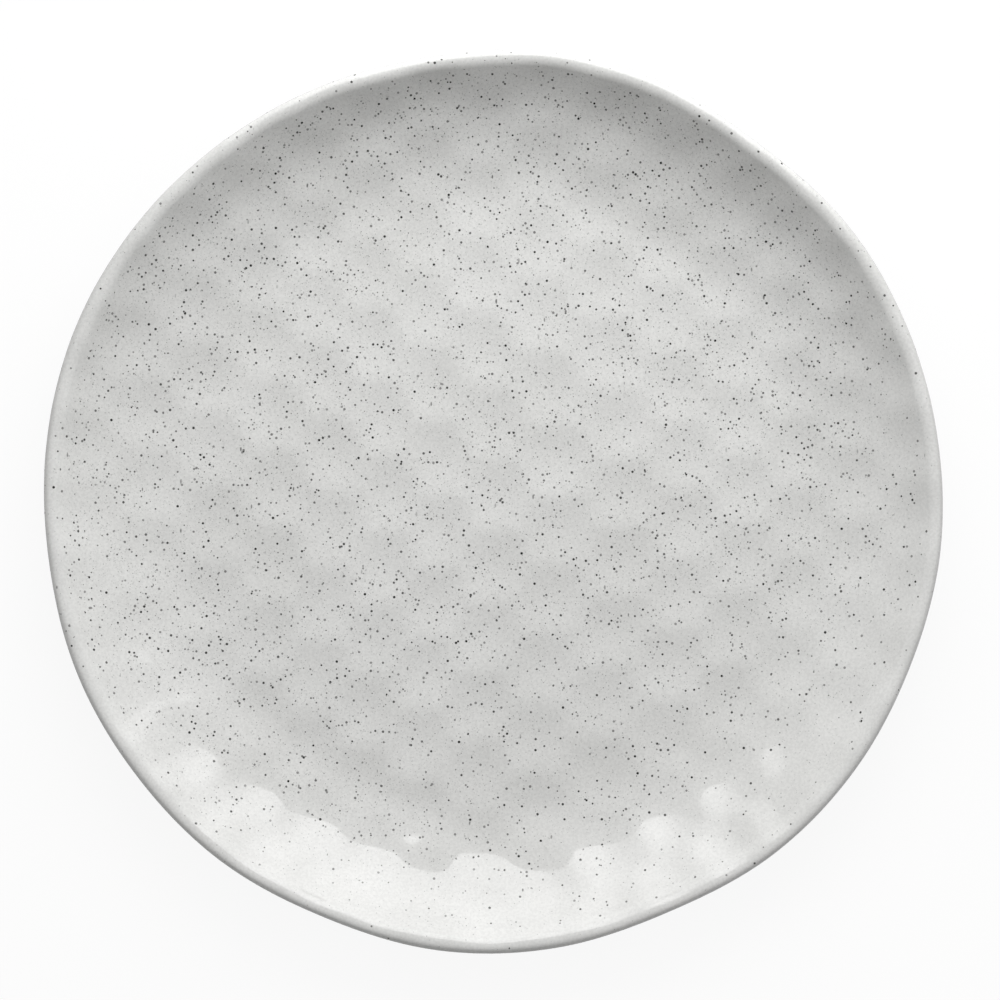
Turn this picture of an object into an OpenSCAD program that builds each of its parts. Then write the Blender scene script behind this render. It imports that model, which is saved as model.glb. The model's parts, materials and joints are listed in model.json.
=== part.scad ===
// Coupe dinner plate in speckled stoneware. A level floor sweeps up without a rim, more steeply at the
// end, into a lip that is rounded more widely towards the face than on its outer edge.
// The face is beaten all over with shallow dimples, the outline is a little uneven, the clay stands on
// a turned ring that stays bare, and a thin coat of glaze covers the rest.
// Millimetres, +Z up, origin on the table under the middle of the plate.

/* [Plate] */
// Width over the lip, taken as an even circle
plate_d = 270; // [220:1:320]
// Height from the table to the top of the lip
plate_h = 26; // [20:0.5:36]
// Width of the level floor, before the wall begins to rise
well_d = 185; // [150:1:210]
// Thickness of the clay under the floor
floor_t = 5.2; // [4:0.1:8]
// Thickness of the clay at the lip
lip_t = 4.1; // [3.4:0.1:6]
// Rounding of the lip towards the face
lip_round = 3.8; // [2:0.1:5]
// Slope that the even sweep of the wall reaches at the lip, in degrees
sweep_slope = 33; // [20:1:40]
// Width of the band inside the lip where the wall turns up more steeply
turn_w = 12.5; // [5:0.5:18]
// Slope of the wall where it runs into the lip, in degrees
lip_slope = 47; // [40:1:60]

/* [Foot] */
// Width over the foot ring
foot_d = 156; // [120:1:190]
// Width of the band that the foot ring stands on
foot_w = 5; // [3:0.1:9]
// Height of the foot ring
foot_h = 3; // [1.5:0.1:6]
// Rounding of the two lower edges of the foot ring
foot_round = 1.2; // [0.3:0.1:1.5]

/* [Glaze] */
// Thickness of the coat of glaze
glaze_t = 0.4; // [0.2:0.05:1]
// Bare line wiped clean between the glaze and the foot ring
wipe_w = 1; // [0.4:0.1:3]

/* [Dimples] */
// Distance from one dimple to the next, up the plate
dimple_pitch = 22; // [14:0.5:36]
// Depth of a dimple below the ridges around it
dimple_depth = 0.78; // [0:0.02:1.8]
// How far the dimple rows wander to the side
drift_x = 3.6; // [0:0.1:8]
// How far the dimple rows wander up and down
drift_y = 1.9; // [0:0.1:6]
// Length of one such wander
drift_len = 160; // [100:5:300]

/* [Hidden] */
// Pieces of the plate
$fn = 96;

// Half widths
plate_r = plate_d / 2;
foot_r = foot_d / 2;

// The uneven outline: half width as a share of plate_r, at even steps of bearing from the first one
rim_shares = [0.9985, 1.001, 1.0035, 0.996, 1.0105, 1.0155, 1.0045, 1.006, 1.0065, 1.008, 1.0075, 1.001,
    0.9945, 0.998, 0.9965, 0.999, 0.994, 1.0015, 0.9985, 0.989, 0.9985, 0.999, 0.995, 0.9995];
rim_first = 8;
rim_step = 360 / len(rim_shares);

// The lip, in clay only: rounding of its outer edge, its crest and the place where the wall runs into it
least_edge_r = 0.4;
edge_r = max(least_edge_r, (lip_t - lip_round * (1 - cos(lip_slope))) / (1 + cos(lip_slope)));
crest_r = plate_r - glaze_t - edge_r;
crest_z = plate_h - glaze_t;
face_end_r = crest_r - lip_round * sin(lip_slope);
face_end_z = crest_z - lip_round * (1 - cos(lip_slope));

// The wall climbs from the edge of the level floor in one sweep, and turns up further before the lip
floor_top = foot_h + floor_t;
wall_start_r = well_d / 2;
wall_run = face_end_r - wall_start_r;
turn_start_r = face_end_r - turn_w;
turn_rise = (tan(lip_slope) - tan(sweep_slope)) * turn_w / 2;
sweep_rise = face_end_z - floor_top - turn_rise;
least_curve = 1.2;
sweep_curve = max(least_curve, tan(sweep_slope) * wall_run / sweep_rise);

// Shares that shape the dimples: how full a bowl is, how much of it is left where the lip begins,
// how far up the wall it stays whole, where it has faded, how much the rows close up and sway
dimple_full_share = 0.6;
lip_dimple_share = 0.85;
whole_wall_share = 0.35;
faded_wall_share = 0.9;
close_up_share = 0.06;
sway_share = 0.6;
sway_len_share = 0.85;
ridge_pitch = dimple_pitch * sin(60);

// Steps of the shape: rings on the face, in the turn of the wall and under the wall, directions around
// the lip and bearings of the outer ring
face_rings = 20;
turn_steps = 2;
under_steps = 5;
lip_turns = [90 + lip_slope / 2, 90, 45, 0, lip_slope - 90];
around = 6 * face_rings;

// Share of a value between 0 and 1
function held(value) = min(1, max(0, value));

// Rim share at a bearing, drawn as one smooth line through the list
function rim_at(i) = rim_shares[(i + len(rim_shares)) % len(rim_shares)];
function rim_share(bearing) =
    let(place = (bearing - rim_first + 360) % 360 / rim_step)
    let(i = floor(place))
    let(u = place - i)
    let(a = rim_at(i - 1), b = rim_at(i), c = rim_at(i + 1), d = rim_at(i + 2))
    b + u / 2 * (c - a + u * (2 * a - 5 * b + 4 * c - d + u * (3 * (b - c) + d - a)));

// Fullness of the dimple pattern, 1 at the bottom of a bowl and 0 where three ridges meet
function dimple(x, y) =
    let(sway = cos(360 * y / drift_len) - sway_share * cos(360 * x / (drift_len * sway_len_share)))
    let(across = x * (1 + close_up_share) - drift_x * sway)
    let(along = y - drift_y * (2 - cos(360 * (x - y) / drift_len / sqrt(2))))
    let(turn = 360 / ridge_pitch)
    let(p = turn * across, q = turn * (across * cos(60) + along * sin(60)))
    pow(held((cos(p) + cos(q) + cos(p - q) + 1.5) / 4.5), dimple_full_share);

// Wall of the clay at a distance from the middle: share of the wall and of its turn that is climbed,
// height, slope, thickness and share of the dimples
function wall_share(r) = held((r - wall_start_r) / wall_run);
function turn_share(r) = held((r - turn_start_r) / turn_w);
function wall_z(r) =
    floor_top + sweep_rise * pow(wall_share(r), sweep_curve) + turn_rise * pow(turn_share(r), 2);
function wall_slope(r) =
    let(sweep = sweep_rise / wall_run * sweep_curve * pow(wall_share(r), sweep_curve - 1))
    atan(sweep + 2 * turn_rise / turn_w * turn_share(r));
function wall_t(r) = floor_t + (lip_t - floor_t) * wall_share(r);
function face_dimple(r) =
    let(up = held((wall_share(r) - whole_wall_share) / (faded_wall_share - whole_wall_share)))
    1 - (1 - lip_dimple_share) * up;

// One station of the section: distance from the middle, height, outward normal and share of the dimples
function face_station(r) = [r, wall_z(r), -sin(wall_slope(r)), cos(wall_slope(r)), face_dimple(r)];
function lip_station(a) =
    let(round_r = a > 90 ? lip_round : edge_r)
    let(dimples = lip_dimple_share * held(a / (90 + lip_slope)))
    [crest_r + round_r * cos(a), crest_z - round_r * (1 - sin(a)), cos(a), sin(a), dimples];
function under_station(r) =
    let(a = wall_slope(r))
    [r + wall_t(r) * sin(a), wall_z(r) - wall_t(r) * cos(a), sin(a), -cos(a), 0];

// Stations from the middle of the face, over the lip, to the edge of the glaze beside the foot ring
glaze_end_r = foot_r + wipe_w;
face_stations = [for (i = [0 : face_rings]) face_station(turn_start_r * i / face_rings)];
turn_stations = [for (i = [1 : turn_steps]) face_station(turn_start_r + turn_w * i / turn_steps)];
lip_stations = [for (a = lip_turns) lip_station(a)];
back_stations = [for (i = [1 : turn_steps]) under_station(face_end_r - turn_w * i / turn_steps)];
under_stations = [for (i = [1 : under_steps])
    under_station(turn_start_r + (glaze_end_r - turn_start_r) * i / under_steps)];
coat_stations = concat(face_stations, turn_stations, lip_stations, back_stations, under_stations);
clay_stations = concat(coat_stations, [[foot_r, foot_h, 0, -1, 0]]);

// Point of a station at a bearing, raised from the clay by the thickness of a coat
function point_at(station, bearing, coat) =
    let(r = station[0])
    let(out = coat - dimple_depth * station[4] * dimple(r * cos(bearing), r * sin(bearing)))
    let(uneven = pow(held((r - foot_r) / (plate_r - foot_r)), 2))
    let(reach = (r + out * station[2]) * (1 + uneven * (rim_share(bearing) - 1)))
    [reach * cos(bearing), reach * sin(bearing), station[1] + out * station[3]];

// Rings of points over all the stations: one point, then six more on each ring of the face, then even rings
function ring_count(i) = i == 0 ? 1 : 6 * min(i, face_rings);
function ring_first(i) =
    i == 0 ? 0 : i <= face_rings ? 1 + 3 * i * (i - 1) : ring_first(face_rings) + around * (i - face_rings);
function skin_points(stations, coat) = [
    for (i = [0 : len(stations) - 1])
        for (k = [0 : ring_count(i) - 1])
            point_at(stations[i], 360 * k / ring_count(i), coat)];

// Triangles of the face, ring by ring in six sectors, and of the even rings that follow
function ring_point(i, k) = ring_first(i) + k % ring_count(i);
face_triangles = [
    for (i = [1 : face_rings])
        for (sector = [0 : 5])
            for (k = [0 : i - 1])
                let(o = sector * i + k, n = sector * (i - 1) + k)
                let(low = ring_point(i - 1, n), high = ring_point(i, o + 1))
                each concat(
                    [[low, high, ring_point(i, o)]],
                    k < i - 1 ? [[low, ring_point(i - 1, n + 1), high]] : [])];
function band_triangles(last) = [
    for (i = [face_rings : last - 1])
        for (k = [0 : around - 1])
            each [
                [ring_point(i, k), ring_point(i + 1, k + 1), ring_point(i + 1, k)],
                [ring_point(i, k), ring_point(i, k + 1), ring_point(i + 1, k + 1)]]];

// Clay of the plate, from the dimpled face over the lip to the level base above the foot ring
module stoneware_body() {
    last = len(clay_stations) - 1;
    base = [for (k = [0 : around - 1]) ring_point(last, k)];
    color([0.79, 0.74, 0.67])
        polyhedron(
            points = skin_points(clay_stations, 0),
            faces = concat(face_triangles, band_triangles(last), [base]));
}

// Bare ring that the plate stands on, with both lower edges rounded
module foot_ring() {
    edge = min(foot_round, foot_w / 3, foot_h / 2);
    color([0.72, 0.65, 0.56])
        rotate_extrude()
            translate([foot_r - foot_w, 0]) {
                translate([edge, 0])
                    square([foot_w - 2 * edge, foot_h]);
                translate([0, edge])
                    square([foot_w, foot_h - edge]);
                translate([edge, edge])
                    circle(edge);
                translate([foot_w - edge, edge])
                    circle(edge);
            }
}

// Coat of glaze over the face, the lip and the outer wall, down to the wiped line
module face_glaze() {
    last = len(coat_stations) - 1;
    outer = skin_points(coat_stations, glaze_t);
    shift = len(outer);
    skin = concat(face_triangles, band_triangles(last));
    back = [for (t = skin) [t[2] + shift, t[1] + shift, t[0] + shift]];
    edge = [
        for (k = [0 : around - 1])
            let(p = ring_point(last, k), q = ring_point(last, k + 1))
            each [[p, q, q + shift], [p, q + shift, p + shift]]];
    color([0.86, 0.86, 0.85])
        polyhedron(
            points = concat(outer, skin_points(coat_stations, 0)),
            faces = concat(skin, back, edge));
}

// Round patch of glaze under the floor, inside the foot ring
module base_glaze() {
    color([0.84, 0.84, 0.83])
        translate([0, 0, foot_h - glaze_t])
            cylinder(r = foot_r - foot_w - wipe_w, h = glaze_t);
}

stoneware_body();
foot_ring();
face_glaze();
base_glaze();
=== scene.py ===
"""Coupe dinner plate in speckled stoneware: how its pieces look, and the studio that shows them.

The plate is turned from one section: a level floor that sweeps up into a rounded lip, and an underside that
follows it down to a ring. The face is then beaten with rows of shallow dimples and the outline is drawn a
little uneven, as the hand left them. A coat of glaze lies on the clay, down to a line wiped clean beside the
ring. All lengths are in metres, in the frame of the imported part.
"""
import json
import logging
import math
from dataclasses import dataclass, field
from enum import Enum

import bpy
import numpy as np
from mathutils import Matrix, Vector
from mathutils.kdtree import KDTree

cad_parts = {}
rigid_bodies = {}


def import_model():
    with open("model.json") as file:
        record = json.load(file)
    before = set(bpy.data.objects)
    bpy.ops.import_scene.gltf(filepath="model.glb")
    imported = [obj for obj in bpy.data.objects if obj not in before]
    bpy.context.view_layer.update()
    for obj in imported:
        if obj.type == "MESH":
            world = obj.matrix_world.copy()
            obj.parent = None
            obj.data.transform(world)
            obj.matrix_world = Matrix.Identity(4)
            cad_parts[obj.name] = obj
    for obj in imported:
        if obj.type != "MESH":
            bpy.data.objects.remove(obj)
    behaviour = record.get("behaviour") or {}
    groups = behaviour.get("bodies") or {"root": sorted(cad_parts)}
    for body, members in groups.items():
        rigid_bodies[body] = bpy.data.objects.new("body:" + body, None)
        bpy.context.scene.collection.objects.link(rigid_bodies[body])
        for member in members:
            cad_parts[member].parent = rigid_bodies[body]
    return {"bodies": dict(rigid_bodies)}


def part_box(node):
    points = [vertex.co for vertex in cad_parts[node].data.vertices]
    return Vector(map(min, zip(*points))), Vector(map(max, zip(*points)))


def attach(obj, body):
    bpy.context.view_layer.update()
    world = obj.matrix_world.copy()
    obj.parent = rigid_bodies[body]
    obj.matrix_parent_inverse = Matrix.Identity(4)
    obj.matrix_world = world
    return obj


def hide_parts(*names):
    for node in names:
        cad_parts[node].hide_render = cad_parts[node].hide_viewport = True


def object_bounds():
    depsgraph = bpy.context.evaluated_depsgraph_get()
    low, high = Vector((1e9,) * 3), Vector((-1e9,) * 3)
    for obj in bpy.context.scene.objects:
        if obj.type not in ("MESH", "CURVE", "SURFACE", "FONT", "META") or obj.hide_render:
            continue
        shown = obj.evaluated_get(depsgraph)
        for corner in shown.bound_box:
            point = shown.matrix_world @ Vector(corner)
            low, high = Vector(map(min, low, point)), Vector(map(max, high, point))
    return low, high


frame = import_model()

Colour = tuple[float, float, float, float]

CAD_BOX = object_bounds()
BODY = next(iter(frame["bodies"]))
LOG = logging.getLogger("plate")
WELD = 5e-6  # points closer than this become one
WAVES_LOW, WAVES_HIGH = -1.5, 3.0  # least and most that three crossing waves add up to
NOISE_LOW, NOISE_HIGH = 0.3, 0.7  # nearly all of a noise lies between these
MIX_FIRST, MIX_SECOND, MIX_RESULT = 6, 7, 2  # sockets of a Mix node that hold colours
WHITE: Colour = (1, 1, 1, 1)


class Node(Enum):
    """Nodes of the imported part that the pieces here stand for."""

    CLAY = "stoneware_body"
    FOOT = "foot_ring"
    FACE_GLAZE = "face_glaze"
    BASE_GLAZE = "base_glaze"


class Slot(Enum):
    """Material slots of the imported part."""

    CLAY = "clay"
    BARE_CLAY = "bare_clay"
    GLAZE = "glaze"


@dataclass(frozen=True)
class PlateSizes:
    """Driving sizes of the plate. Height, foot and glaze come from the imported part.

    Attributes:
        plate_h: Height to the top of the lip.
        foot_r: Half width over the foot ring.
        foot_h: Height of the foot ring.
        glaze_t: Thickness of the glaze.
        plate_r: Half width over the lip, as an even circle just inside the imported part.
        well_r: Half width of the level floor.
        floor_t: Clay under the floor.
        lip_t: Clay at the lip.
        lip_round: Rounding of the lip towards the face, in clay.
        sweep_slope: Slope that the sweep of the wall would reach at the lip, in radians.
        turn_w: Width of the band inside the lip that turns up more steeply.
        lip_slope: Slope of the wall where the lip begins, in radians.
        foot_w: Width of the band that the ring stands on.
        foot_round: Rounding of the ring's lower edges.
        wipe_w: Bare line between the glaze and the ring.
    """

    plate_h: float
    foot_r: float
    foot_h: float
    glaze_t: float
    plate_r: float = 0.13497
    well_r: float = 0.0925
    floor_t: float = 0.0052
    lip_t: float = 0.0041
    lip_round: float = 0.0038
    sweep_slope: float = math.radians(33)
    turn_w: float = 0.0125
    lip_slope: float = math.radians(47)
    foot_w: float = 0.005
    foot_round: float = 0.0012
    wipe_w: float = 0.001

    @classmethod
    def from_frame(cls) -> "PlateSizes":
        """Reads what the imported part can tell.

        Returns:
            The sizes of the plate.
        """
        foot_low, foot_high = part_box(Node.FOOT.value)
        base_low, base_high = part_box(Node.BASE_GLAZE.value)
        return cls(
            plate_h=CAD_BOX[1].z,
            foot_r=(foot_high.x - foot_low.x) / 2,
            foot_h=foot_high.z,
            glaze_t=base_high.z - base_low.z,
        )


@dataclass(frozen=True)
class UnevenRim:
    """The outline around the plate.

    Attributes:
        shares: Half widths as shares of an even circle, at even steps of bearing.
        first: Bearing of the first share, in radians.
    """

    shares: tuple[float, ...] = (
        0.9985, 1.001, 1.0035, 0.996, 1.0105, 1.0155, 1.0045, 1.006, 1.0065, 1.008, 1.0075, 1.001,
        0.9945, 0.998, 0.9965, 0.999, 0.994, 1.0015, 0.9985, 0.989, 0.9985, 0.999, 0.995, 0.9995,
    )
    first: float = math.radians(8)

    def share(self, bearing: np.ndarray) -> np.ndarray:
        """Draws one smooth line through the shares, each span a cubic that its neighbours steer.

        Args:
            bearing: Bearings in radians.

        Returns:
            The half width at each bearing, as a share of the even circle.
        """
        table = np.array(self.shares)
        place = (bearing - self.first) / math.tau * len(table)
        step = np.floor(place).astype(int)
        u = place - step
        a, b, c, d = (table[(step + k) % len(table)] for k in (-1, 0, 1, 2))
        return b + u / 2 * (c - a + u * (2 * a - 5 * b + 4 * c - d + u * (3 * (b - c) + d - a)))


@dataclass(frozen=True)
class DimpleRows:
    """Staggered rows of shallow dimples that wander a little over the face.

    Attributes:
        pitch: Distance from one dimple to the next, up the plate.
        depth: Depth of a dimple below the ridges around it.
        drift_x: How far the rows wander to the side.
        drift_y: How far the rows wander up and down.
        drift_len: Length of one such wander.
        full_share: How full the bowl of a dimple is, less being fuller.
        close_up_share: How much the rows close up towards the sides.
        sway_share: Sway of the columns as a share of the sideways wander.
        sway_len_share: Length of that sway as a share of a wander.
        lift_share: How far the rows stand up the plate, as a share of the wander up and down.
        row_turn: Angle between two rows that cross, in radians.
    """

    pitch: float = 0.022
    depth: float = 0.00078
    drift_x: float = 0.0036
    drift_y: float = 0.0019
    drift_len: float = 0.16
    full_share: float = 0.6
    close_up_share: float = 0.06
    sway_share: float = 0.6
    sway_len_share: float = 0.85
    lift_share: float = 2.0
    row_turn: float = math.radians(60)

    def fullness(self, x: np.ndarray, y: np.ndarray) -> np.ndarray:
        """Gives the pattern, 1 at the bottom of a bowl and 0 where three ridges meet.

        Args:
            x: Places across the plate.
            y: Places up the plate.

        Returns:
            The fullness of the pattern at each place.
        """
        wave = math.tau / self.drift_len
        sway = np.cos(wave * y) - self.sway_share * np.cos(wave * x / self.sway_len_share)
        across = x * (1 + self.close_up_share) - self.drift_x * sway
        along = y - self.drift_y * (self.lift_share - np.cos(wave * (x - y) / math.sqrt(2)))
        turn = math.tau / (self.pitch * math.sin(self.row_turn))
        p = turn * across
        q = turn * (across * math.cos(self.row_turn) + along * math.sin(self.row_turn))
        waves = np.cos(p) + np.cos(q) + np.cos(p - q)
        rows = (waves - WAVES_LOW) / (WAVES_HIGH - WAVES_LOW)
        return np.clip(rows, 0, 1) ** self.full_share


@dataclass(frozen=True)
class Stations:
    """Stations along the section of the clay, each with the coat that lies on it.

    Attributes:
        r: Distance from the middle.
        z: Height.
        normal_r: Outward normal away from the middle.
        normal_z: Outward normal upwards.
        dimple: Share of the dimples that shows there.
        coat: Thickness of what lies on the clay.
    """

    r: np.ndarray
    z: np.ndarray
    normal_r: np.ndarray
    normal_z: np.ndarray
    dimple: np.ndarray
    coat: np.ndarray

    @classmethod
    def joined(cls, *runs: "Stations") -> "Stations":
        """Puts runs of stations end to end."""
        names = cls.__dataclass_fields__
        return cls(*(np.concatenate([getattr(run, name) for run in runs]) for name in names))

    def taken(self, order: slice | np.ndarray) -> "Stations":
        """Takes some of the stations, by a slice or by their numbers."""
        return Stations(*(getattr(self, name)[order] for name in self.__dataclass_fields__))

    def coated(self, coat: float | np.ndarray) -> "Stations":
        """Gives the same stations under another coat."""
        cover = np.broadcast_to(coat, self.r.shape).astype(float)
        return Stations(self.r, self.z, self.normal_r, self.normal_z, self.dimple, cover)

    def line(self) -> np.ndarray:
        """Gives the section as pairs of distance and height, before any dimple."""
        return np.column_stack([self.r + self.coat * self.normal_r, self.z + self.coat * self.normal_z])


@dataclass(frozen=True)
class PlateSection:
    """Section of the clay from the middle of the face, over the lip, to the foot ring.

    Attributes:
        sizes: Driving sizes of the plate.
        face_steps: Stations on the face.
        crest_steps: Stations from the face to the crest of the lip.
        edge_steps: Stations on each quarter of the lip's outer edge.
        under_steps: Stations under the wall.
        bead_steps: Stations on the rounded edge of the glaze.
        lip_dimple_share: Share of the dimples left where the lip begins.
        whole_wall_share: Share of the wall up to which the dimples stay whole.
        faded_wall_share: Share of the wall from which they have faded to that.
    """

    sizes: PlateSizes
    face_steps: int = 92
    crest_steps: int = 8
    edge_steps: int = 6
    under_steps: int = 20
    bead_steps: int = 6
    lip_dimple_share: float = 0.85
    whole_wall_share: float = 0.35
    faded_wall_share: float = 0.9

    @property
    def edge_r(self) -> float:
        """Rounding of the lip's outer edge, which leaves the lip its thickness."""
        level = math.cos(self.sizes.lip_slope)
        return (self.sizes.lip_t - self.sizes.lip_round * (1 - level)) / (1 + level)

    @property
    def crest(self) -> tuple[float, float]:
        """Highest place of the lip, as distance and height."""
        glaze_t = self.sizes.glaze_t
        return self.sizes.plate_r - glaze_t - self.edge_r, self.sizes.plate_h - glaze_t

    @property
    def face_end(self) -> tuple[float, float]:
        """Place where the wall runs into the lip.

        Returns:
            The distance from the middle and the height.
        """
        crest_r, crest_z = self.crest
        slope, rounding = self.sizes.lip_slope, self.sizes.lip_round
        return crest_r - rounding * math.sin(slope), crest_z - rounding * (1 - math.cos(slope))

    def wall(self, r: np.ndarray) -> tuple[np.ndarray, np.ndarray, np.ndarray]:
        """Follows the face outwards.

        Args:
            r: Distances from the middle.

        Returns:
            The share of the wall that is climbed, the height and the slope at each distance.
        """
        sizes = self.sizes
        floor_top = sizes.foot_h + sizes.floor_t
        end_r, end_z = self.face_end
        run = end_r - sizes.well_r
        sweep = math.tan(sizes.sweep_slope)
        steeper = math.tan(sizes.lip_slope) - sweep
        turn_rise = steeper * sizes.turn_w / 2
        sweep_rise = end_z - floor_top - turn_rise
        curve = sweep * run / sweep_rise
        share = np.clip((r - sizes.well_r) / run, 0, 1)
        turn = np.clip((r - end_r) / sizes.turn_w + 1, 0, 1)
        slope = np.arctan(sweep * share ** (curve - 1) + steeper * turn)
        return share, floor_top + sweep_rise * share**curve + turn_rise * turn**2, slope

    def face(self) -> Stations:
        """Gives the bare clay of the face.

        Returns:
            The stations from the middle to the start of the lip.
        """
        r = np.linspace(0, self.face_end[0], self.face_steps + 1)
        share, z, slope = self.wall(r)
        fade = self.faded_wall_share - self.whole_wall_share
        up = np.clip((share - self.whole_wall_share) / fade, 0, 1)
        dimple = 1 - (1 - self.lip_dimple_share) * up
        return Stations(r, z, -np.sin(slope), np.cos(slope), dimple, np.zeros_like(r))

    def lip(self) -> Stations:
        """Gives the bare clay around the lip, over which the dimples fade away.

        Returns:
            The stations after the end of the face.
        """
        level, slope = math.pi / 2, self.sizes.lip_slope
        inner = np.linspace(level + slope, level, self.crest_steps + 1)[1:]
        outer = np.linspace(level, 0, self.edge_steps + 1)[1:]
        lower = np.linspace(0, slope - level, self.edge_steps + 1)[1:]
        turn = np.concatenate([inner, outer, lower])
        rounding = np.where(turn > level, self.sizes.lip_round, self.edge_r)
        crest_r, crest_z = self.crest
        r, z = crest_r + rounding * np.cos(turn), crest_z - rounding * (1 - np.sin(turn))
        dimple = self.lip_dimple_share * np.clip(turn / (level + slope), 0, 1)
        return Stations(r, z, np.cos(turn), np.sin(turn), dimple, np.zeros_like(r))

    def under(self, wall_r: np.ndarray) -> Stations:
        """Gives the bare clay under the wall.

        Args:
            wall_r: Distances on the face that the underside follows.

        Returns:
            The stations on the underside.
        """
        share, z, slope = self.wall(wall_r)
        thick = self.sizes.floor_t + (self.sizes.lip_t - self.sizes.floor_t) * share
        out, up = np.sin(slope), -np.cos(slope)
        bare = np.zeros_like(wall_r)
        return Stations(wall_r + thick * out, z + thick * up, out, up, bare, bare)

    def coated_part(self) -> Stations:
        """Gives the clay that the glaze covers.

        Returns:
            The stations from the middle of the face to the wiped line, the last few under the glaze's edge.
        """
        end_r = self.sizes.foot_r + self.sizes.wipe_w
        bead_r = end_r + self.sizes.glaze_t
        down = np.linspace(self.face_end[0], bead_r, self.under_steps + 1)[1:]
        bead = np.linspace(bead_r, end_r, self.bead_steps + 1)[1:]
        return Stations.joined(self.face(), self.lip(), self.under(down), self.under(bead))

    def bead_coat(self, stations: Stations) -> np.ndarray:
        """Gives the thickness of the glaze, full everywhere but on its rounded edge.

        Args:
            stations: The stations of the coated part.

        Returns:
            The thickness at each station.
        """
        coat = np.full_like(stations.r, self.sizes.glaze_t)
        round_off = np.arange(1, self.bead_steps + 1) / self.bead_steps
        coat[-self.bead_steps:] *= np.sqrt(1 - round_off**2)
        return coat


class Wheel:
    """The wheel and the beating tool: shapes sections into pieces."""

    def __init__(self, sizes: PlateSizes, rim: UnevenRim, dimples: DimpleRows, steps: int = 320) -> None:
        """Takes the plate's sizes and patterns.

        Args:
            sizes: Driving sizes of the plate.
            rim: The outline around the plate.
            dimples: The rows of dimples on the face.
            steps: Steps around one turn.
        """
        self.sizes = sizes
        self.rim = rim
        self.dimples = dimples
        self.steps = steps

    def spin(self) -> None:
        """Spins the open mesh once round, welds its seam and poles and turns its faces outwards."""
        bpy.ops.mesh.select_all(action="SELECT")
        bpy.ops.mesh.spin(steps=self.steps, angle=math.tau, center=(0, 0, 0), axis=(0, 0, 1))
        bpy.ops.mesh.select_all(action="SELECT")
        bpy.ops.mesh.remove_doubles(threshold=WELD)
        bpy.ops.mesh.normals_make_consistent(inside=False)

    def turn(self, name: str, line: np.ndarray) -> bpy.types.Object:
        """Draws a section point by point and turns it into a closed shape.

        Args:
            name: Name of the piece.
            line: The section as pairs of distance and height, from the axis back to the axis.

        Returns:
            The piece, at the origin.
        """
        bpy.ops.object.select_all(action="DESELECT")
        bpy.ops.mesh.primitive_plane_add(size=self.sizes.foot_w)
        piece = bpy.context.active_object
        piece.name = piece.data.name = name
        bpy.ops.object.mode_set(mode="EDIT")
        bpy.ops.mesh.merge(type="CENTER")
        bpy.ops.transform.translate(value=(line[0][0], 0, line[0][1]))
        for reach, lift in np.diff(line, axis=0):
            bpy.ops.mesh.extrude_region_move(TRANSFORM_OT_translate={"value": (reach, 0, lift)})
        self.spin()
        bpy.ops.object.mode_set(mode="OBJECT")
        return piece

    def beat(self, piece: bpy.types.Object, stations: Stations) -> None:
        """Presses the dimples into a turned piece and draws its outline uneven.

        Args:
            piece: A piece turned from the stations.
            stations: The stations that its section was drawn through.
        """
        tree = KDTree(len(stations.r))
        for index, (r, z) in enumerate(stations.line()):
            tree.insert((r, 0, z), index)
        tree.balance()
        points = np.empty(len(piece.data.vertices) * 3)
        piece.data.vertices.foreach_get("co", points)
        x, y, z = points.reshape(-1, 3).T
        near = np.array([tree.find((math.hypot(a, b), 0, c))[1] for a, b, c in zip(x, y, z)])
        station = stations.taken(near)
        bearing = np.arctan2(y, x)
        dimple = self.dimples.fullness(station.r * np.cos(bearing), station.r * np.sin(bearing))
        out = station.coat - self.dimples.depth * station.dimple * dimple
        outer = np.clip((station.r - self.sizes.foot_r) / (self.sizes.plate_r - self.sizes.foot_r), 0, 1)
        reach = (station.r + out * station.normal_r) * (1 + outer**2 * (self.rim.share(bearing) - 1))
        height = station.z + out * station.normal_z
        moved = np.column_stack([reach * np.cos(bearing), reach * np.sin(bearing), height])
        piece.data.vertices.foreach_set("co", moved.ravel())
        piece.data.update()


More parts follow.
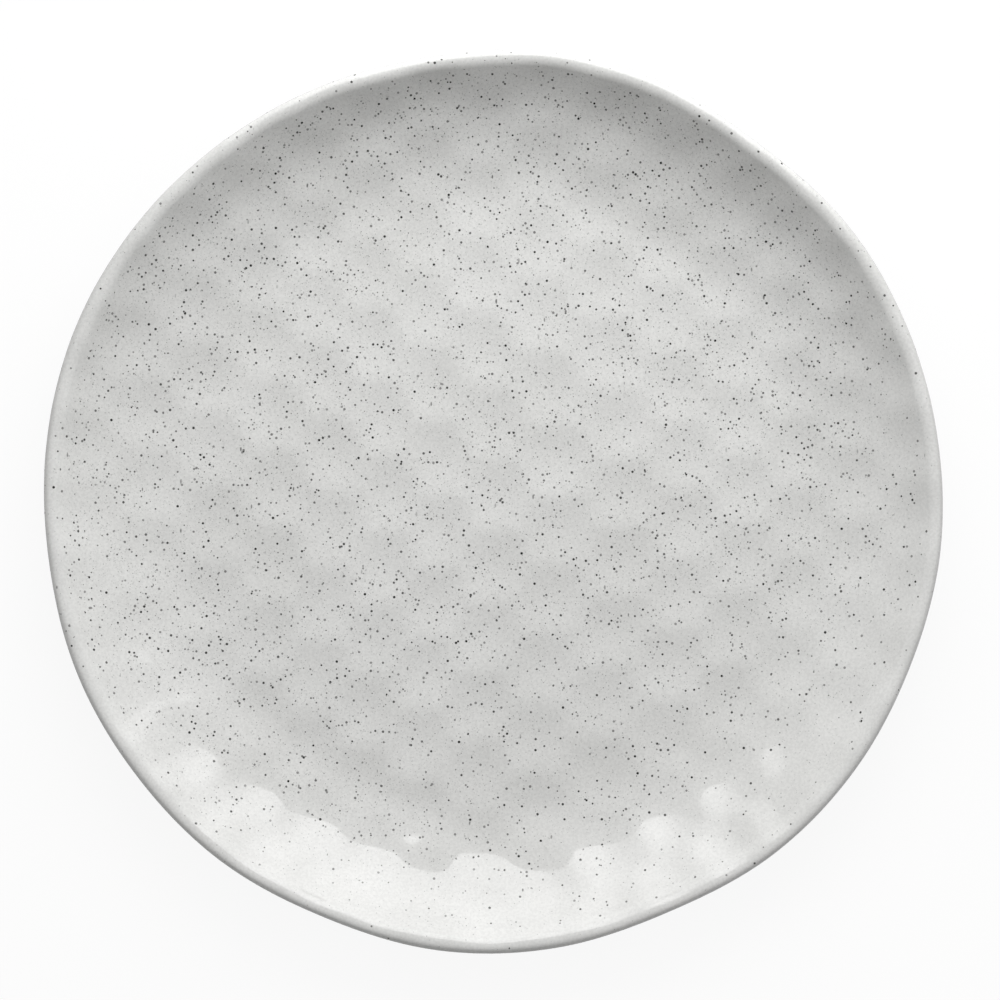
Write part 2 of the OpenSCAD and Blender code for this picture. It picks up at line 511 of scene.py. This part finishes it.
class NodeBench:
    """Adds and links the nodes of one material or world."""

    def __init__(self, tree: bpy.types.NodeTree) -> None:
        """Clears a node tree to work on.

        Args:
            tree: The tree of a material or a world.
        """
        self.tree = tree
        tree.nodes.clear()

    def add(self, kind: str, inputs: dict[str, object] | None = None, **settings: object) -> bpy.types.Node:
        """Adds a node.

        Args:
            kind: The node's type.
            inputs: Values, or sockets to link, for its inputs by name.
            **settings: Its other settings.

        Returns:
            The new node.
        """
        made = self.tree.nodes.new(kind)
        for name, value in settings.items():
            setattr(made, name, value)
        for name, value in (inputs or {}).items():
            self.feed(made.inputs[name], value)
        return made

    def feed(self, socket: bpy.types.NodeSocket, value: object) -> None:
        """Links a socket into an input, or sets the input to a plain value.

        Args:
            socket: The input.
            value: A socket to link, or the value to set.
        """
        if isinstance(value, bpy.types.NodeSocket):
            self.tree.links.new(value, socket)
        else:
            socket.default_value = value

    def math(self, operation: str, *values: object) -> bpy.types.NodeSocket:
        """Works out one number from others.

        Args:
            operation: The operation's name.
            *values: Numbers or sockets.

        Returns:
            The socket that holds the result.
        """
        made = self.add("ShaderNodeMath", operation=operation)
        for socket, value in zip(made.inputs, values):
            self.feed(socket, value)
        return made.outputs[0]

    def toward(
        self, coords: bpy.types.NodeSocket, side: tuple[float, float, float]
    ) -> bpy.types.NodeSocket:
        """Measures how far places lie along a direction.

        Args:
            coords: The places.
            side: The direction.

        Returns:
            The socket that holds the measure.
        """
        made = self.add("ShaderNodeVectorMath", operation="DOT_PRODUCT")
        self.feed(made.inputs[0], coords)
        self.feed(made.inputs[1], side)
        return made.outputs["Value"]

    def ramp(self, value: object, low: float, high: float, start: float, end: float) -> bpy.types.NodeSocket:
        """Eases a number from one range into another.

        Args:
            value: The number or socket to ease.
            low: Where the ease begins.
            high: Where it ends.
            start: Result at the beginning.
            end: Result at the end.

        Returns:
            The socket that holds the result.
        """
        span = {"Value": value, "From Min": low, "From Max": high, "To Min": start, "To Max": end}
        made = self.add("ShaderNodeMapRange", span, interpolation_type="SMOOTHSTEP")
        return made.outputs["Result"]

    def noise(self, coords: bpy.types.NodeSocket, length: float, detail: float) -> bpy.types.NodeSocket:
        """Adds cloudy noise.

        Args:
            coords: The coordinates it lies on.
            length: Size of its largest clouds.
            detail: How many finer layers it has.

        Returns:
            The socket that holds the noise.
        """
        values = {"Vector": coords, "Scale": 1 / length, "Detail": detail}
        return self.add("ShaderNodeTexNoise", values).outputs["Fac"]

    def clouds(
        self, coords: bpy.types.NodeSocket, length: float, detail: float, start: float, end: float
    ) -> bpy.types.NodeSocket:
        """Eases cloudy noise between two levels.

        Args:
            coords: The coordinates it lies on.
            length: Size of its largest clouds.
            detail: How many finer layers it has.
            start: Result between the clouds.
            end: Result in the clouds.

        Returns:
            The socket that holds the result.
        """
        return self.ramp(self.noise(coords, length, detail), NOISE_LOW, NOISE_HIGH, start, end)

    def blend(self, share: object, first: object, second: object) -> bpy.types.NodeSocket:
        """Mixes two colours.

        Args:
            share: How much of the second colour shows.
            first: A colour or socket.
            second: A colour or socket.

        Returns:
            The socket that holds the mixed colour.
        """
        made = self.add("ShaderNodeMix", data_type="RGBA")
        for socket, value in (("Factor", share), (MIX_FIRST, first), (MIX_SECOND, second)):
            self.feed(made.inputs[socket], value)
        return made.outputs[MIX_RESULT]


@dataclass(frozen=True)
class Specks:
    """One kind of iron speck, scattered through the glaze or the clay.

    Attributes:
        cell: Size of the cells that hold one speck at most.
        kept_share: Share of the cells that hold one.
        radius: Half width of the largest one.
        small_share: Size of the smallest one, as a share of the largest.
        soft_share: Share of the radius over which the edge fades.
        faint: How dark the faintest one is, from 0 to 1.
        strong: How dark the strongest one is, from 0 to 1.
        stretch: How much longer than wide they are.
        shift: Shift of the pattern, so that two kinds don't meet.
        thin_side: Direction in which they thin out, over the plate and up its wall.
        thin_start: Where along that direction they begin to.
        thin_end: Where they have thinned out.
        thin_share: Share of them that is left there.
        lip_low: Height from which they thin out over the lip.
        lip_high: Height from which they have.
        lip_share: Share of them that is left there.
    """

    cell: float
    kept_share: float
    radius: float
    small_share: float
    soft_share: float
    faint: float
    strong: float
    stretch: float = 1.0
    shift: float = 0.0
    thin_side: tuple[float, float, float] = (0.2, -0.5, 4.0)
    thin_start: float = 0.03
    thin_end: float = 0.13
    thin_share: float = 0.28
    lip_low: float = 0.022
    lip_high: float = 0.025
    lip_share: float = 0.25

    def darkness(self, bench: NodeBench, coords: bpy.types.NodeSocket) -> bpy.types.NodeSocket:
        """Scatters the specks.

        Args:
            bench: The nodes of the finish.
            coords: The coordinates they lie on.

        Returns:
            The socket that is 0 between specks and up to 1 in a dark one.
        """
        place = bench.add(
            "ShaderNodeMapping",
            {"Vector": coords, "Location": (self.shift,) * 3, "Scale": (1, 1 / self.stretch, 1)},
        )
        grid = {"Vector": place.outputs[0], "Scale": 1 / self.cell}
        cells = bench.add("ShaderNodeTexVoronoi", grid).outputs
        # A cell's colour also tells its point's place, so size, strength and chance are drawn afresh from it.
        draw = bench.add("ShaderNodeTexWhiteNoise", {"Vector": cells["Color"]}, noise_dimensions="3D")
        drawn = bench.add("ShaderNodeSeparateColor", {"Color": draw.outputs["Color"]}).outputs
        size = bench.ramp(drawn["Red"], 0, 1, self.small_share, 1)
        near = bench.math("DIVIDE", cells["Distance"], size)
        edge = self.radius / self.cell
        spot = bench.ramp(near, edge * (1 - self.soft_share), edge, 1, 0)
        dark = bench.ramp(drawn["Green"], 0, 1, self.faint, self.strong)
        kept = bench.math("LESS_THAN", drawn["Blue"], self.chance(bench, coords))
        return bench.math("MULTIPLY", bench.math("MULTIPLY", spot, dark), kept)

    def chance(self, bench: NodeBench, coords: bpy.types.NodeSocket) -> bpy.types.NodeSocket:
        """Thins the specks out towards one side and over the lip.

        Args:
            bench: The nodes of the finish.
            coords: The coordinates they lie on.

        Returns:
            The socket that holds the share of cells with a speck in them.
        """
        side = bench.toward(coords, self.thin_side)
        thin = self.kept_share * self.thin_share
        left = bench.ramp(side, self.thin_start, self.thin_end, self.kept_share, thin)
        height = bench.add("ShaderNodeSeparateXYZ", {"Vector": coords}).outputs["Z"]
        over = bench.ramp(height, self.lip_low, self.lip_high, 1, self.lip_share)
        return bench.math("MULTIPLY", left, over)


@dataclass(frozen=True)
class SpeckledGlaze:
    """Pale gloss glaze with iron specks in it.

    Attributes:
        pale: Colour where the glaze lies thick.
        grey: Colour where it lies thin.
        iron: Colour of the specks.
        cloud_len: Size of the cloudy change between the two colours.
        cloud_detail: Finer layers in those clouds.
        grain_len: Size of the fine grain in it.
        grain_detail: Finer layers in that grain.
        grain_share: How dark that grain is, from 0 to 1.
        gloss: Roughness where it shines most.
        dull: Roughness where it shines least.
        shine_len: Size of the cloudy change between the two.
        shine_detail: Finer layers in it.
        ior: Index of refraction.
        ripple: Height of the fine ripple left by the firing.
        ripple_len: Length of that ripple.
        ripple_detail: Finer layers in it.
        specks: The kinds of speck in it.
    """

    pale: Colour = (0.725, 0.725, 0.711, 1)
    grey: Colour = (0.688, 0.688, 0.673, 1)
    iron: Colour = (0.02, 0.0195, 0.018, 1)
    cloud_len: float = 0.03
    cloud_detail: float = 4
    grain_len: float = 0.0008
    grain_detail: float = 1
    grain_share: float = 0.09
    gloss: float = 0.04
    dull: float = 0.08
    shine_len: float = 0.015
    shine_detail: float = 3
    ior: float = 1.5
    ripple: float = 0.00004
    ripple_len: float = 0.006
    ripple_detail: float = 2
    specks: tuple[Specks, ...] = (
        Specks(
            cell=0.0012, kept_share=0.44, radius=0.00043, small_share=0.35, soft_share=0.1,
            faint=0.62, strong=1.0,
        ),
        Specks(
            cell=0.00068, kept_share=0.85, radius=0.00026, small_share=0.35, soft_share=0.5,
            faint=0.1, strong=0.45, shift=0.31,
        ),
        Specks(
            cell=0.0006, kept_share=1.0, radius=0.00023, small_share=0.4, soft_share=0.7,
            faint=0.05, strong=0.35, shift=0.53,
        ),
        Specks(
            cell=0.0036, kept_share=1.0, radius=0.00038, small_share=0.5, soft_share=0.5,
            faint=0.3, strong=0.8, stretch=2.6, shift=0.77,
        ),
    )

    def material(self) -> bpy.types.Material:
        """Mixes the glaze.

        Returns:
            The material.
        """
        made = bpy.data.materials.new("speckled_glaze")
        made.use_nodes = True
        bench = NodeBench(made.node_tree)
        coords = bench.add("ShaderNodeTexCoord").outputs["Object"]
        clouds = bench.clouds(coords, self.cloud_len, self.cloud_detail, 0, 1)
        colour = bench.blend(clouds, self.pale, self.grey)
        grain = bench.clouds(coords, self.grain_len, self.grain_detail, 0, self.grain_share)
        colour = bench.blend(grain, colour, self.iron)
        for kind in self.specks:
            colour = bench.blend(kind.darkness(bench, coords), colour, self.iron)
        rough = bench.clouds(coords, self.shine_len, self.shine_detail, self.gloss, self.dull)
        ripple = bench.noise(coords, self.ripple_len, self.ripple_detail)
        bump = bench.add("ShaderNodeBump", {"Height": ripple, "Distance": self.ripple, "Strength": 1.0})
        shader = bench.add(
            "ShaderNodeBsdfPrincipled",
            {"Base Color": colour, "Roughness": rough, "Normal": bump.outputs[0], "IOR": self.ior},
        )
        bench.add("ShaderNodeOutputMaterial", {"Surface": shader.outputs[0]})
        return made


@dataclass(frozen=True)
class FiredClay:
    """Bare fired stoneware: warm, matt and gritty.

    Attributes:
        name: Name of the finish.
        light: Colour of the clay.
        dark: Colour of its darker clouds.
        iron: Colour of the grit in it.
        cloud_len: Size of the clouds.
        cloud_detail: Finer layers in them.
        grit_len: Size of the grit's bumps.
        grit_detail: Finer layers in them.
        grit: Height of those bumps.
        rough: Roughness.
        specks: The grit that shows as specks.
    """

    name: str
    light: Colour
    dark: Colour
    iron: Colour = (0.09, 0.06, 0.04, 1)
    cloud_len: float = 0.008
    cloud_detail: float = 5
    grit_len: float = 0.0006
    grit_detail: float = 3
    grit: float = 0.00012
    rough: float = 0.82
    specks: tuple[Specks, ...] = (
        Specks(
            cell=0.0016, kept_share=1.0, radius=0.0003, small_share=0.3, soft_share=0.5,
            faint=0.2, strong=0.8, shift=0.11,
        ),
        Specks(
            cell=0.0009, kept_share=1.0, radius=0.0002, small_share=0.4, soft_share=0.6,
            faint=0.05, strong=0.3, shift=0.23,
        ),
    )

    def material(self) -> bpy.types.Material:
        """Mixes the clay.

        Returns:
            The material.
        """
        made = bpy.data.materials.new(self.name)
        made.use_nodes = True
        bench = NodeBench(made.node_tree)
        coords = bench.add("ShaderNodeTexCoord").outputs["Object"]
        clouds = bench.clouds(coords, self.cloud_len, self.cloud_detail, 0, 1)
        colour = bench.blend(clouds, self.light, self.dark)
        for kind in self.specks:
            colour = bench.blend(kind.darkness(bench, coords), colour, self.iron)
        grain = bench.noise(coords, self.grit_len, self.grit_detail)
        bump = bench.add("ShaderNodeBump", {"Height": grain, "Distance": self.grit, "Strength": 1.0})
        shader = bench.add(
            "ShaderNodeBsdfPrincipled",
            {"Base Color": colour, "Roughness": self.rough, "Normal": bump.outputs[0]},
        )
        bench.add("ShaderNodeOutputMaterial", {"Surface": shader.outputs[0]})
        return made


@dataclass
class Kiln:
    """Holds the finishes and sets each piece in its place on the part.

    Attributes:
        glaze: The glaze of the face and the base.
        clay: The clay under the glaze.
        bare_clay: The clay of the foot ring.
    """

    glaze: bpy.types.Material = field(default_factory=SpeckledGlaze().material)
    clay: bpy.types.Material = field(
        default_factory=FiredClay(
            "fired_clay", light=(0.52, 0.45, 0.36, 1), dark=(0.44, 0.37, 0.29, 1)
        ).material
    )
    bare_clay: bpy.types.Material = field(
        default_factory=FiredClay(
            "bare_foot_clay", light=(0.47, 0.39, 0.30, 1), dark=(0.38, 0.31, 0.23, 1)
        ).material
    )

    def fire(self, piece: bpy.types.Object, finish: bpy.types.Material, node: Node) -> None:
        """Dresses a piece and puts it in the place of its node.

        Args:
            piece: The modelled piece.
            finish: Its material.
            node: The node that it stands for.
        """
        piece.data.materials.clear()
        piece.data.materials.append(finish)
        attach(piece, BODY)
        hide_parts(node.value)
        LOG.info("%s: %d faces, in place of %s", piece.name, len(piece.data.polygons), node.value)


@dataclass
class ClayBody:
    """The clay of the plate under the glaze.

    Attributes:
        sizes: Driving sizes of the plate.
        section: The section that it is turned from.
        wheel: The wheel that turns it.
        crease: Angle from which an edge stays sharp, in radians.
    """

    sizes: PlateSizes
    section: PlateSection
    wheel: Wheel
    crease: float = math.radians(40)

    def build(self) -> bpy.types.Object:
        """Turns the clay from the face over the lip to its level base.

        Returns:
            The piece.
        """
        base_r = np.array([self.sizes.foot_r, 0.0])
        level = np.full(2, self.sizes.foot_h)
        none = np.zeros(2)
        base = Stations(base_r, level, none, none - 1, none, none)
        stations = Stations.joined(self.section.coated_part(), base)
        piece = self.wheel.turn("clay_body", stations.line())
        self.wheel.beat(piece, stations)
        bpy.ops.object.shade_smooth_by_angle(angle=self.crease)
        return piece


@dataclass
class FaceGlaze:
    """The coat of glaze over the face, the lip and the outer wall.

    Attributes:
        section: The section that it lies on.
        wheel: The wheel that turns it.
        crease: Angle from which an edge stays sharp, in radians.
    """

    section: PlateSection
    wheel: Wheel
    crease: float = math.radians(40)

    def build(self) -> bpy.types.Object:
        """Turns the coat as a thin shell with a rounded edge.

        Returns:
            The piece.
        """
        clay = self.section.coated_part()
        outer = clay.coated(self.section.bead_coat(clay))
        stations = Stations.joined(outer, clay.taken(slice(-2, None, -1)))
        piece = self.wheel.turn("glaze_coat", stations.line())
        self.wheel.beat(piece, stations)
        bpy.ops.object.shade_smooth_by_angle(angle=self.crease)
        return piece


@dataclass
class FootRing:
    """The bare ring that the plate stands on.

    Attributes:
        sizes: Driving sizes of the plate.
        wheel: The wheel that turns it.
        round_steps: Steps around each rounded edge.
        crease: Angle from which an edge stays sharp, in radians.
    """

    sizes: PlateSizes
    wheel: Wheel
    round_steps: int = 6
    crease: float = math.radians(35)

    def build(self) -> bpy.types.Object:
        """Draws the ring's section as a rectangle, rounds its lower edges and spins it.

        Returns:
            The piece.
        """
        sizes = self.sizes
        bpy.ops.object.select_all(action="DESELECT")
        bpy.ops.mesh.primitive_plane_add(size=1)
        piece = bpy.context.active_object
        piece.name = piece.data.name = "bare_foot_ring"
        bpy.ops.object.mode_set(mode="EDIT")
        bpy.ops.transform.rotate(value=math.pi / 2, orient_axis="X", center_override=(0, 0, 0))
        bpy.ops.transform.resize(value=(sizes.foot_w, 1, sizes.foot_h))
        bpy.ops.transform.translate(value=(sizes.foot_r - sizes.foot_w / 2, 0, sizes.foot_h / 2))
        bpy.ops.mesh.select_mode(type="VERT")
        bpy.ops.mesh.select_all(action="DESELECT")
        bpy.ops.object.mode_set(mode="OBJECT")
        for corner in piece.data.vertices:
            corner.select = corner.co.z < sizes.foot_h / 2
        bpy.ops.object.mode_set(mode="EDIT")
        bpy.ops.mesh.bevel(offset=sizes.foot_round, segments=self.round_steps, affect="VERTICES")
        bpy.ops.mesh.select_all(action="SELECT")
        bpy.ops.mesh.delete(type="ONLY_FACE")
        self.wheel.spin()
        bpy.ops.object.mode_set(mode="OBJECT")
        bpy.ops.object.shade_smooth_by_angle(angle=self.crease)
        return piece


@dataclass
class BaseGlaze:
    """The round patch of glaze under the floor, inside the foot ring.

    Attributes:
        sizes: Driving sizes of the plate.
        wheel: The wheel that turns it.
        pools: Rings of the patch between its middle and its edge.
        round_steps: Steps around its rounded edge.
        crease: Angle from which an edge stays sharp, in radians.
    """

    sizes: PlateSizes
    wheel: Wheel
    pools: int = 12
    round_steps: int = 6
    crease: float = math.radians(50)

    def build(self) -> bpy.types.Object:
        """Turns a thin disc whose lower edge is rounded.

        Returns:
            The piece.
        """
        sizes = self.sizes
        radius = sizes.foot_r - sizes.foot_w - sizes.wipe_w
        reach = np.linspace(0, radius - sizes.glaze_t, self.pools + 1)
        turn = np.linspace(0, math.pi / 2, self.round_steps + 1)[1:]
        flat = np.column_stack([reach, np.full_like(reach, sizes.foot_h - sizes.glaze_t)])
        out, down = sizes.glaze_t * np.sin(turn), sizes.glaze_t * np.cos(turn)
        edge = np.column_stack([reach[-1] + out, sizes.foot_h - down])
        piece = self.wheel.turn("base_glaze_patch", np.vstack([flat, edge, [[0, sizes.foot_h]]]))
        bpy.ops.object.shade_smooth_by_angle(angle=self.crease)
        return piece


@dataclass(frozen=True)
class Studio:
    """Plain pale sweep, one large soft panel behind the plate, a dim room and the camera.

    Attributes:
        sweep_r: Half width of the level floor.
        sweep_h: Height of its turned-up edge.
        sweep_steps: Steps around the floor.
        panel_y: Distance of the panel behind the plate.
        panel_left: Place of the panel's left edge.
        panel_right: Place of its right edge.
        even_left: Place from which it dims towards its left edge.
        even_right: Place from which it dims towards its right edge.
        panel_dim_share: Share of its light that is left at those edges.
        even_low: Height from which it dims towards its lower edge.
        low_dim_share: Share of its light that is left there.
        panel_low: Height of its lower edge.
        panel_high: Height of its upper edge.
        panel_light: Radiance of the panel.
        room_light: Radiance of the room overhead, where it is brightest.
        room_dark: How far round from there that light ends, as the cosine of the angle.
        room_side: Where that light is brightest, as a direction.
        side_light: Radiance of the room straight to the left and to the right.
        floor_shine: Share of the floor's white that no shadow takes away.
        floor_bounce: Share of the light that the floor throws back onto the plate.
        lens: Focal length in millimetres.
        sensor: Sensor width in millimetres.
        distance: Distance of the camera from its target.
        elevation: Elevation of the camera, in radians.
        target: The point that the camera looks at.
    """

    sweep_r: float = 12.0
    sweep_h: float = 1.6
    sweep_steps: int = 96
    panel_y: float = 0.355
    panel_left: float = -0.25
    panel_right: float = 0.4
    even_left: float = -0.03
    even_right: float = 0.12
    panel_dim_share: float = 0.3
    even_low: float = 0.22
    low_dim_share: float = 0.55
    panel_low: float = 0.0
    panel_high: float = 0.72
    panel_light: float = 3.4
    room_light: float = 0.6
    room_dark: float = 0.0
    room_side: tuple[float, float, float] = (0.19, 0.325, 0.926)
    side_light: float = 0.47
    floor_shine: float = 0.9
    floor_bounce: float = 0.08
    lens: float = 85.0
    sensor: float = 36.0
    distance: float = 0.7081
    elevation: float = math.radians(86)
    target: tuple[float, float, float] = (0.00211, -0.00057, 0.0236)

    def floor_finish(self) -> bpy.types.Material:
        """Mixes a white floor that keeps the shadow and throws little light back.

        Returns:
            The material.
        """
        made = bpy.data.materials.new("pale_sweep")
        made.use_nodes = True
        bench = NodeBench(made.node_tree)
        path = bench.add("ShaderNodeLightPath").outputs
        seen = bench.math("MAXIMUM", path["Is Camera Ray"], path["Is Glossy Ray"])
        seen = bench.math("MAXIMUM", seen, path["Is Transmission Ray"])
        white = bench.add("ShaderNodeEmission", {"Color": WHITE, "Strength": self.floor_shine})
        lit = 1 - self.floor_shine
        shade = bench.add("ShaderNodeBsdfDiffuse", {"Color": (lit, lit, lit, 1)})
        shown = bench.add("ShaderNodeAddShader")
        bench.feed(shown.inputs[0], white.outputs[0])
        bench.feed(shown.inputs[1], shade.outputs[0])
        back = bench.add("ShaderNodeBsdfDiffuse", {"Color": (self.floor_bounce,) * 3 + (1,)})
        both = bench.add("ShaderNodeMixShader", {"Fac": seen})
        bench.feed(both.inputs[1], back.outputs[0])
        bench.feed(both.inputs[2], shown.outputs[0])
        bench.add("ShaderNodeOutputMaterial", {"Surface": both.outputs[0]})
        return made

    def sweep(self) -> bpy.types.Object:
        """Lays the floor and turns its edge up into a backdrop.

        Returns:
            The floor.
        """
        bpy.ops.object.select_all(action="DESELECT")
        bpy.ops.mesh.primitive_circle_add(vertices=self.sweep_steps, radius=self.sweep_r, fill_type="NGON")
        floor = bpy.context.active_object
        floor.name = floor.data.name = "pale_sweep"
        bpy.ops.object.mode_set(mode="EDIT")
        bpy.ops.mesh.select_mode(type="EDGE")
        bpy.ops.mesh.select_all(action="SELECT")
        bpy.ops.mesh.extrude_edges_move(TRANSFORM_OT_translate={"value": (0, 0, self.sweep_h)})
        bpy.ops.object.mode_set(mode="OBJECT")
        floor.data.materials.append(self.floor_finish())
        return floor

    def panel(self) -> bpy.types.Object:
        """Stands the soft panel upright behind the plate, dimmed towards its sides and its foot.

        Returns:
            The lamp.
        """
        data = bpy.data.lights.new("soft_panel", "AREA")
        data.shape = "RECTANGLE"
        data.size, data.size_y = self.panel_right - self.panel_left, self.panel_high - self.panel_low
        data.energy = self.panel_light * math.pi * data.size * data.size_y
        data.use_nodes = True
        bench = NodeBench(data.node_tree)
        # On the panel, X runs from its left edge to its right one and Y from its upper edge to its lower one.
        place = bench.add("ShaderNodeNewGeometry").outputs["Parametric"]
        spot = bench.add("ShaderNodeSeparateXYZ", {"Vector": place}).outputs
        left = (self.even_left - self.panel_left) / data.size
        right = (self.even_right - self.panel_left) / data.size
        low = (self.panel_high - self.even_low) / data.size_y
        level = bench.math(
            "MULTIPLY",
            bench.ramp(spot["X"], 0, left, self.panel_dim_share, 1),
            bench.ramp(spot["X"], right, 1, 1, self.panel_dim_share),
        )
        level = bench.math("MULTIPLY", level, bench.ramp(spot["Y"], low, 1, 1, self.low_dim_share))
        glow = bench.add("ShaderNodeEmission", {"Strength": level})
        bench.add("ShaderNodeOutputLight", {"Surface": glow.outputs[0]})
        lamp = bpy.data.objects.new("soft_panel", data)
        across, up = (self.panel_left + self.panel_right) / 2, (self.panel_low + self.panel_high) / 2
        lamp.location = (across, self.panel_y, up)
        lamp.rotation_euler = (-math.pi / 2, 0, 0)
        lamp.visible_camera = False
        bpy.context.collection.objects.link(lamp)
        return lamp

    def room(self) -> None:
        """Fills the room with dim light that comes from above and from both sides."""
        world = bpy.data.worlds.new("room")
        world.use_nodes = True
        bench = NodeBench(world.node_tree)
        way = bench.add("ShaderNodeTexCoord").outputs["Generated"]
        above = bench.ramp(bench.toward(way, self.room_side), self.room_dark, 1, 0, self.room_light)
        across = bench.add("ShaderNodeSeparateXYZ", {"Vector": way}).outputs["X"]
        sides = bench.math("MULTIPLY", across, across)
        level = bench.math("MULTIPLY_ADD", sides, self.side_light, above)
        glow = bench.add("ShaderNodeBackground", {"Color": WHITE, "Strength": level})
        bench.add("ShaderNodeOutputWorld", {"Surface": glow.outputs[0]})
        bpy.context.scene.world = world

    def camera(self) -> bpy.types.Object:
        """Hangs the camera nearly straight above the plate.

        Returns:
            The camera.
        """
        data = bpy.data.cameras.new("camera")
        data.lens, data.sensor_width = self.lens, self.sensor
        camera = bpy.data.objects.new("camera", data)
        back = Vector((0, -math.cos(self.elevation), math.sin(self.elevation)))
        camera.location = Vector(self.target) + back * self.distance
        camera.rotation_euler = (math.pi / 2 - self.elevation, 0, 0)
        bpy.context.collection.objects.link(camera)
        bpy.context.scene.camera = camera
        return camera

    def set_up(self) -> None:
        """Sets up the floor, the light, the room and the camera."""
        bpy.context.scene.view_settings.view_transform = "Standard"
        self.sweep()
        self.panel()
        self.room()
        self.camera()


def main() -> None:
    """Builds the plate piece by piece and sets up the studio."""
    logging.basicConfig(level=logging.INFO, format="%(name)s: %(message)s")
    sizes = PlateSizes.from_frame()
    section = PlateSection(sizes)
    wheel = Wheel(sizes, UnevenRim(), DimpleRows())
    kiln = Kiln()
    kiln.fire(ClayBody(sizes, section, wheel).build(), kiln.clay, Node.CLAY)
    kiln.fire(FaceGlaze(section, wheel).build(), kiln.glaze, Node.FACE_GLAZE)
    kiln.fire(FootRing(sizes, wheel).build(), kiln.bare_clay, Node.FOOT)
    kiln.fire(BaseGlaze(sizes, wheel).build(), kiln.glaze, Node.BASE_GLAZE)
    Studio().set_up()


if __name__ == "__main__":
    main()
